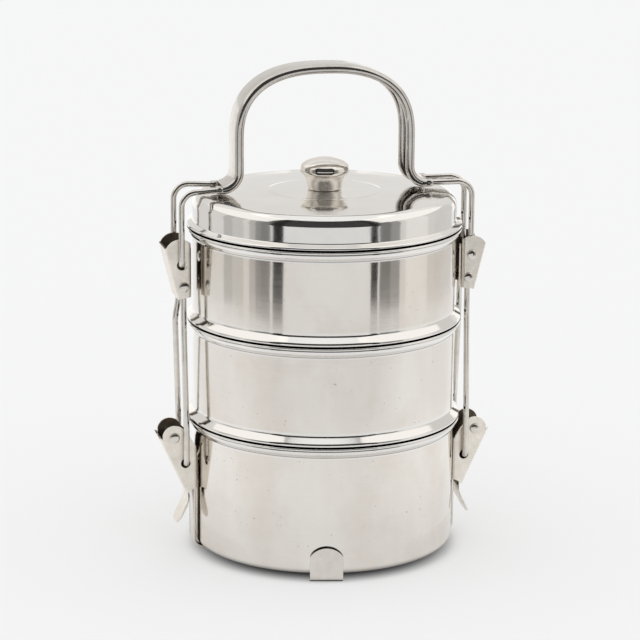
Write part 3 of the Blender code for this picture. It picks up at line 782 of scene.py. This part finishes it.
def add_handle_wires(material):
    """Both wires run outside the left latch and inside the right one, where they are peened."""
    arch = arch_path()
    for word, front in ROWS.items():
        row = (GRIP_HALF - ROLL) * front
        middle = [Vector((x, row, z)) for x, z in arch]
        ends = {}
        for sign in (-1, 1):
            outside = sign < 0
            wire_y = (OUTSIDE if outside else INSIDE) * front
            pin = side_pin("latch_{}_swing", sign)
            target = (LATCH_HALF - PLATE - 0.0015) * front if outside else LATCH_HALF * front
            path, radii = pinned_end(pin, wire_y, target, head=not outside)
            shoulder = bend((pin[0], wire_y, FOOT_Z), (sign, 0, 0), (0, 0, -1), SHOULDER_BEND, 14)
            ends[sign] = ([*shoulder, *path], [WIRE] * len(shoulder) + radii)
        path = [*reversed(ends[-1][0]), *middle, *ends[1][0]]
        radii = [*reversed(ends[-1][1]), *[WIRE] * len(middle), *ends[1][1]]
        wire = make_object(word + "_handle_wire", tube(path, radii), [material], 50)
        install(wire, "handle", ["handle_wire_" + word])


# ---- latches and levers ----
def channel_section(inner, outer, web, half, mouth, bends):
    """C-shaped section (x, y) of bent plate; web is the outer wall's thickness along X."""
    inside_bend, outside_bend = bends
    rings = []
    for t, wall in ((0.0, 0.0), (PLATE, web)):
        low, high, wide = inner + t, outer - wall, half - t
        r_in, r_out = max(inside_bend - t, 0.0002), max(outside_bend - t, 0.0002)
        lip = min(mouth, wide - r_in)
        path = [(low, lip)]
        path += [(p.x, p.y) for p in bend((low, wide, 0), (0, 1, 0), (1, 0, 0), r_in, 8)]
        path += [(p.x, p.y) for p in bend((high, wide, 0), (1, 0, 0), (0, -1, 0), r_out, 4)]
        rings.append(path + [(x, -y) for x, y in reversed(path)])
    return rings[0] + rings[1][::-1]


def channel(name, inner, web_line, z_range, half, mouth, bends, side_outline, materials, sign):
    """A pressed U-channel: bent plate lofted up its leaning web, then trimmed to its side outline."""
    (web_x, web_z), lean = web_line
    web = PLATE * sqrt(1 + lean * lean)
    rings = []
    for z in z_range:
        section = channel_section(inner, web_x + lean * (z - web_z), web, half, mouth, bends)
        rings.append([(sign * x, y, z) for x, y in section])
    body = make_object(name, loft(rings), materials)
    trim = [(sign * x, z) for x, z in side_outline]
    boolean(body, prism(trim, 0.03), "INTERSECT")
    return body


def shifted(points, px, pz):
    """Points measured from a pin, moved to where it is."""
    return [(px + x, pz + z) for x, z in points]


def window(x_range, z_range, half, sign):
    """A box cutter along Y; its x's are given for the side at +X."""
    (x_low, x_high), (z_low, z_high) = x_range, z_range
    corners = [(x_low, z_low), (x_high, z_low), (x_high, z_high), (x_low, z_high)]
    return prism([(sign * x, z) for x, z in corners], half)


def add_upper_latches(materials):
    """Plates with a round crown, open at the top."""
    for side, sign in SIDES.items():
        pin = side_pin("latch_{}_swing", sign)
        link = side_pin("link_{}_fold", sign)
        px, pz = abs(pin[0]), pin[1]
        inner = px - 0.0054
        crown_z = pz + (0.0050 if sign < 0 else 0.0022)
        web_line = ((px + 0.0081, pz + 0.0080), 0.0063 / 0.0258)
        outline = arc((px + 0.0004, crown_z), 0.0078, 132, 25, 22)
        outline += shifted([(0.0100, 0.0083), (0.0040, -0.0184), (0.0016, -0.0182)], px, pz)
        foot = [(0.0010, -0.0180), (-0.0006, -0.0177), (-0.0030, -0.0173), (-0.0064, -0.0171)]
        outline += curve_through(shifted(foot, px, pz), 4)
        outline += curve_through([(px - 0.0060, pz - 0.0010), (px - 0.0057, crown_z - 0.0005),
                                  (px - 0.0053, crown_z + 0.0030), (px - 0.0050, crown_z + 0.0050)], 4)
        body = channel("latch_plate_" + side, inner, web_line, (pz - 0.0200, pz + 0.0150), LATCH_HALF,
                       0.0050, (0.0022, 0.0010), outline, materials, sign)
        boolean(body, window((px - 0.0200, px + 0.0200), (crown_z + 0.0030, pz + 0.0250),
                             LATCH_HALF - PLATE, sign))
        if sign < 0:
            boolean(body, rod_y((pin[0] + 0.0005, pin[1] - 0.0004), WIRE + 0.0012))
        else:
            boolean(body, rod_y(pin, WIRE + GAP))
        boolean(body, rod_y(link, WIRE + GAP))
        round_edges(body, 0.00018, 32, 1)
        shade_inside(body, LATCH_HALF, inner, web_line, sign)
        install(body, "latch_" + side, ["upper_latch_" + side])


def lever_leaf(px, pz, sign):
    """The thumb end: a thin leaf that flares outwards below the lever."""
    spine = [(-0.0059, -0.0263), (-0.0073, -0.0307), (-0.0075, -0.0335), (-0.0065, -0.0369),
             (-0.0041, -0.0419), (-0.0013, -0.0471)]
    spine = curve_through(shifted(spine, px, pz), 7)
    count = len(spine)
    halves = []
    for i in range(count):
        t = i / (count - 1)
        narrow = 0.0056 + 0.0020 * sin(pi / 2 * min(t * 1.5, 1.0))
        tip = sqrt(max(1 - max((t - 0.76) / 0.24, 0.0) ** 2.4, 0.0))
        halves.append(max(narrow * tip, 0.0006))
    return flat_strap([(sign * x, z) for x, z in spine], PLATE * 0.9, halves, 0.0003)


def add_levers(materials):
    """Plates that taper down to a thumb leaf."""
    for side, sign in SIDES.items():
        pin = side_pin("lever_{}_throw", sign)
        px, pz = abs(pin[0]), pin[1]
        inner = px - 0.0116
        web_line = ((px + 0.0068, pz - 0.0020), 0.0132 / 0.0283)
        outline = arc((px, pz), 0.0063, 158, 12, 22)
        tip = [(0.0060, -0.0012), (0.0064, -0.0002), (0.0082, 0.0004), (-0.0056, -0.0305)]
        foot = [(-0.0070, -0.0297), (-0.0084, -0.0284), (-0.0098, -0.0276), (-0.0110, -0.0274),
                (-0.0122, -0.0277)]
        back = [(-0.0122, -0.0088), (-0.0112, -0.0054), (-0.0094, -0.0022), (-0.0074, 0.0008)]
        outline += shifted(tip, px, pz) + curve_through(shifted(foot, px, pz), 4)
        outline += curve_through(shifted(back, px, pz), 4)
        body = channel("lever_plate_" + side, inner, web_line, (pz - 0.0315, pz + 0.0090), LEVER_HALF,
                       0.0066, (0.0016, 0.0010), outline, materials, sign)
        boolean(body, window((px - 0.0250, px + 0.0200), (pz - 0.0012, pz + 0.0200),
                             LEVER_HALF - PLATE, sign))
        boolean(body, rod_y(pin, RIVET_PIN + GAP))
        hook_x, hook_z = hook_point(sign)
        boolean(body, rod_y((hook_x, hook_z - 0.0005), WIRE + 0.0010))
        boolean(body, lever_leaf(px, pz, sign), "UNION")
        round_edges(body, 0.00016, 34, 1)
        shade_inside(body, LEVER_HALF, inner, web_line, sign)
        install(body, "lever_{}_body".format(side), ["lever_" + side])


def add_links(material):
    """Wires from the latches down to the levers; the left back one is bowed."""
    for side, sign in SIDES.items():
        top = side_pin("link_{}_fold", sign)
        low = hook_point(sign)
        for word, front in ROWS.items():
            inside, beside = INSIDE * front, HOOK_OFFSET * front
            up_path, up_radii = pinned_end((0, 0), inside, LATCH_HALF * front, head=True)
            upper = [Vector((top[0], p.y, top[1] - p.z)) for p in up_path]
            bow = -LINK_BOW if sign < 0 < front else 0.0
            near_hook = Vector((low[0], beside, low[1] + HOOK_RISE))
            middle = [Vector((top[0] + bow * ease(t), inside * (1 + 0.04 * t), top[1] - 0.0066 - 0.0150 * t))
                      for t in (i / 8 for i in range(9))]
            low_path, low_radii = pinned_end(low, beside, (LEVER_HALF + 0.0004) * front, head=False)
            path = [*reversed(upper), *middle, near_hook, *low_path]
            radii = [*reversed(up_radii), *[WIRE] * len(middle), WIRE, *low_radii]
            wire = make_object("link_wire_{}_{}".format(side, word), tube(path, radii), [material], 50)
            install(wire, "link_" + side, ["link_{}_{}".format(side, word)])


# ---- base frame ----
def riser_path(sign):
    """Centreline from the floor's middle up to the end of the barrel, at one side."""
    x = RISER_FACE - STRAP / 2
    z = STRAP + GAP + STRAP / 2
    corner = 0.0050
    pivot = side_pin("lever_{}_throw", sign)
    px, pz = abs(pivot[0]), pivot[1]
    path = arc((x - corner, z + corner), corner, -90, 0, 14)
    knee = pz - KNEE_DROP
    radius = BARREL_BORE + STRAP / 2
    dx, dz = px - x, pz - knee
    reach = sqrt(dx * dx + dz * dz - radius * radius)
    tangent = degrees(atan2(dz, dx)) + 90 - degrees(atan2(radius, reach))
    barrel = arc((px, pz), radius, tangent, tangent - 262, 40)
    start = barrel[0]
    path += [(x, knee - 0.0030), (x, knee - 0.0010)]
    path += [(x + (start[0] - x) * t, knee + (start[1] - knee) * t) for t in (0.08, 0.2, 0.5, 0.85)]
    path += barrel
    return [(sign * u, v) for u, v in path]


def add_straps(material, grime):
    """The base strap with its risers, and the cross strap with its upturned tabs."""
    path = [*reversed(riser_path(-1)), *riser_path(1)]
    strip = flat_strap(path, STRAP, [RISER_HALF] * len(path), 0.0004)
    base = make_object("base_riser_strap", strip, [material])
    install(base, "base", ["base_strap"])

    face = CROSS_FACE - STRAP / 2
    corner = 0.0020
    side = arc((face - corner, STRAP / 2 + corner), corner, -90, 0, 8) + [(face, TAB_TOP)]
    path = [(-u, z) for u, z in reversed(side)] + side
    strip = flat_strap(path, STRAP, [CROSS_HALF] * len(path), 0.0003)
    cross = make_object("cross_tab_strap", strip, [material, grime])
    radius = (CROSS_HALF ** 2 + TAB_RISE ** 2) / (2 * TAB_RISE)
    reach = degrees(atan2(CROSS_HALF, radius - TAB_RISE))
    crown = arc((0.0, TAB_TOP - radius), radius, 90 - reach, 90 + reach, 28)
    wide = CROSS_HALF + 0.0010
    crown = [(wide, -0.01), (wide, crown[0][1]), *crown, (-wide, crown[-1][1]), (-wide, -0.01)]
    boolean(cross, loft([[(x, y, z) for y, z in crown] for x in (-0.1, 0.1)]), "INTERSECT")
    round_edges(cross, 0.00028, 45)
    # the tab's top edge and its foot get the painted shade material
    for polygon in cross.data.polygons:
        on_top = polygon.normal.z > 0.22 and polygon.center.z > TAB_TOP - TAB_RISE - 0.0004
        if on_top or polygon.center.z < TAB_FOOT:
            polygon.material_index = 1
    cross.data.transform(Matrix.Rotation(radians(90 + CROSS_SKEW), 4, "Z"))
    install(cross, "base", ["cross_strap"])


def add_rivets(material):
    """The levers' domed rivets and the flush rivet where the straps cross."""
    for side, sign in SIDES.items():
        x, z = side_pin("lever_{}_throw", sign)
        near = LEVER_HALF + GAP
        ends = [(near + offset, radius) for offset, radius in head_stations(RIVET_PIN)]
        stations = [(-y, r) for y, r in reversed(ends)] + ends
        bar = tube([(x, y, z) for y, _ in stations], [radius for _, radius in stations], 32)
        rivet = make_object("lever_pin_" + side, bar, [material], 50)
        install(rivet, "base", ["lever_rivet_" + side])
    low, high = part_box("strap_rivet")
    rim, shank, cone = high.x, 0.0022, 0.0011
    outline = [(0.0, low.z), (rim - 0.0002, low.z), (rim, low.z + 0.0002), (shank, low.z + cone)]
    outline += [(shank, high.z - cone), (rim, high.z - 0.0002), (rim - 0.0002, high.z), (0.0, high.z)]
    flush = lathe("flush_strap_rivet", outline, [material], 48)
    install(flush, "base", ["strap_rivet"])


# ---- studio ----
def plain(name, colour):
    """A matt material and its shader."""
    material = bpy.data.materials.new(name)
    material.use_nodes = True
    shader = material.node_tree.nodes["Principled BSDF"]
    shader.inputs["Base Color"].default_value = (*colour, 1.0)
    shader.inputs["Roughness"].default_value = 0.9
    shader.inputs["Specular IOR Level"].default_value = 0.0
    return material, shader


def around(radius, azimuth, z):
    """A point at this distance from the axis; azimuth 0 is the camera's side."""
    angle = radians(azimuth - CAMERA_TURN)
    return radius * sin(angle), -radius * cos(angle), z


def reflected_only(name, bm, colour, strength):
    """Make a glowing stage mesh that the camera and the diffuse light don't see."""
    material, shader = plain(name + "_finish", (0.0, 0.0, 0.0))
    shader.inputs["Emission Color"].default_value = (*colour, 1.0)
    shader.inputs["Emission Strength"].default_value = strength
    obj = placed(name, mesh_of(name, bm, [material]))
    obj.visible_camera = False
    obj.visible_diffuse = False
    obj.visible_shadow = False
    return material.node_tree, shader


def card(name, radius, start, stop, low, high, strength):
    """A curved panel round the object, between two azimuths, that only reflections see."""
    bm = bmesh.new()
    steps = max(1, round(abs(stop - start) / 6))
    columns = []
    for i in range(steps + 1):
        azimuth = start + (stop - start) * i / steps
        columns.append([bm.verts.new(around(radius, azimuth, z)) for z in (low, high)])
    for a, b in zip(columns, columns[1:]):
        bm.faces.new((a[0], b[0], b[1], a[1]))
    reflected_only(name, bm, (1.0, 0.985, 0.96), strength)


def add_sheen():
    """The floor as the walls mirror it: paler at the sides, a little darker far in front."""
    bm = bmesh.new()
    layer = bm.verts.layers.float.new("glow")
    count = 72
    rows = []
    for radius in (0.10, 0.13, 0.17, 0.22, 0.28, 0.34, 0.40, 0.48, 0.60, 2.0):
        rows.append([])
        far = ease((radius - 0.25) / 0.15)
        near = ease((radius - 0.09) / 0.10) * (1 - far)
        for i in range(count):
            azimuth = 360 / count * i - 180
            vert = bm.verts.new(around(radius, azimuth, 0.0006))
            side = ease((abs(azimuth) - 20) / 60)
            vert[layer] = (0.86 + 0.065 * ease((radius - 0.10) / 0.12) + side * (0.045 + 0.058 * near)
                           - (1 - side) * 0.065 * far)
            rows[-1].append(vert)
    for inner, outer in zip(rows, rows[1:]):
        for i in range(count):
            in_front = count / 3 <= i < count * 2 / 3
            if in_front or outer is not rows[-1]:
                bm.faces.new((inner[i], outer[i], outer[(i + 1) % count], inner[(i + 1) % count]))
    tree, shader = reflected_only("sheen", bm, (0.99, 0.995, 1.0), 1.0)
    glow = tree.nodes.new("ShaderNodeAttribute")
    glow.attribute_name = "glow"
    tree.links.new(glow.outputs["Fac"], shader.inputs["Emission Strength"])


def add_lamps():
    """Soft suns and a fill light everything evenly; reflections show only the lamp overhead."""
    suns = (("sun_left", -65, 48, 0.26), ("sun_right", 65, 48, 0.26), ("sun_front", 0, 58, 0.20))
    for name, azimuth, elevation, energy in suns:
        light = bpy.data.lights.new(name, "SUN")
        light.energy = energy
        light.angle = radians(75)
        lamp = placed(name, light)
        toward = Vector(around(cos(radians(elevation)), azimuth, sin(radians(elevation))))
        lamp.rotation_euler = toward.to_track_quat("Z", "Y").to_euler()
        lamp.visible_glossy = False

    for name, energy, glossy in (("overhead", 1.1, True), ("overhead_fill", 1.9, False)):
        light = bpy.data.lights.new(name, "AREA")
        light.shape = "DISK"
        light.size = 1.44
        light.energy = energy
        light.color = (1.0, 0.99, 0.975)
        lamp = placed(name, light)
        lamp.location = (0.0, 0.1, 1.35)
        lamp.visible_glossy = glossy
        lamp.visible_diffuse = not glossy


def floor_material():
    """Pale paper with a painted contact shadow: less glow and a darker colour under and close to the object.
    """
    material, shader = plain("floor_paper", (0.5, 0.5, 0.5))
    tree = material.node_tree
    shader.inputs["Emission Color"].default_value = (1.0, 1.0, 1.0, 1.0)
    point = tree.nodes.new("ShaderNodeTexCoord")
    length = tree.nodes.new("ShaderNodeVectorMath")
    length.operation = "LENGTH"
    tree.links.new(point.outputs["Object"], length.inputs[0])
    # painted contact shadow: glow and paper colour fall off towards the object
    shades = (("Emission Strength", WALL - 0.0140, WALL + 0.0085, 0.0, 0.41),
              ("Base Color", WALL - 0.0020, WALL + 0.0040, 0.34, 0.5))
    for socket, start, stop, under, beyond in shades:
        fade = tree.nodes.new("ShaderNodeMapRange")
        fade.interpolation_type = "SMOOTHSTEP"
        for key, value in (("From Min", start), ("From Max", stop), ("To Min", under), ("To Max", beyond)):
            fade.inputs[key].default_value = value
        tree.links.new(length.outputs["Value"], fade.inputs["Value"])
        tree.links.new(fade.outputs["Result"], shader.inputs[socket])
    return material


def add_floor_and_world():
    bm = bmesh.new()
    bmesh.ops.create_circle(bm, cap_ends=True, segments=96, radius=14.0)
    floor = placed("floor", mesh_of("floor", bm, [floor_material()]))

    world = bpy.context.scene.world or bpy.data.worlds.new("world")
    bpy.context.scene.world = world
    world.use_nodes = True
    background = world.node_tree.nodes["Background"]
    background.inputs["Color"].default_value = (0.99, 0.992, 1.0, 1.0)
    background.inputs["Strength"].default_value = 0.86


def add_cards():
    """The room as the steel mirrors it: card(name, radius, start, stop, low, high, strength)."""
    card("sky", 12.0, 0, 360, 0.0, 12.0, 0.96)
    card("ceiling", 2.3, -140, 220, 3.95, 4.0, 0.96)
    card("room_window", 2.2, -60, 60, 0.13, 4.4, 0.05)
    card("back_wall", 2.2, 100, 260, 0.22, 1.5, 0.84)
    card("back_glow", 1.3, 146, 214, 0.0, 0.22, 1.05)
    card("left_post", 0.64, -42.2, -33.4, 0.0, 0.9, 0.02)
    card("right_post", 0.64, 38.3, 44.6, 0.0, 0.9, 0.02)
    left = ((-53, -44.4, 0.25), (-58, -53, 0.32), (-64, -58, 0.54), (-70, -64, 0.80), (-82, -70, 0.66),
            (-92, -82, 0.56), (-140, -92, 0.80))
    right = ((46.2, 56, 0.22), (56, 65, 0.35), (65, 71, 0.78), (71, 96, 0.92), (96, 106, 0.78),
             (106, 140, 0.74))
    for start, stop, strength in left + right:
        card("side_panel_{}".format(start), 0.63, start, stop, 0.0, 0.45, strength)
    for start, stop in ((-140, -50), (50, 140)):
        card("side_box_{}".format(start), 0.95, start, stop, 0.62, 2.2, 1.15)
    for start, stop in ((-178, -142), (142, 178)):
        card("rear_box_{}".format(start), 0.95, start, stop, 0.0, 0.27, 1.15)
    add_sheen()


# ---- build ----
add_camera()
wire, strap = wire_material(), strap_material()
plates = [plate_material(), edge_material(), inside_material()]
add_containers(vessel_material())
add_lid(lid_material())
add_knob(knob_material(), strap)
grip = wire_material("grip_steel", (0.61, 0.585, 0.55), (0.50, 0.475, 0.44))
add_grip(grip)
add_sleeves(grip)
add_handle_wires(wire)
add_upper_latches(plates)
add_levers(plates)
add_links(wire)
add_straps(strap, grime_material())
add_rivets(strap)
add_lamps()
add_floor_and_world()
add_cards()
bpy.context.scene.view_settings.view_transform = "Standard"
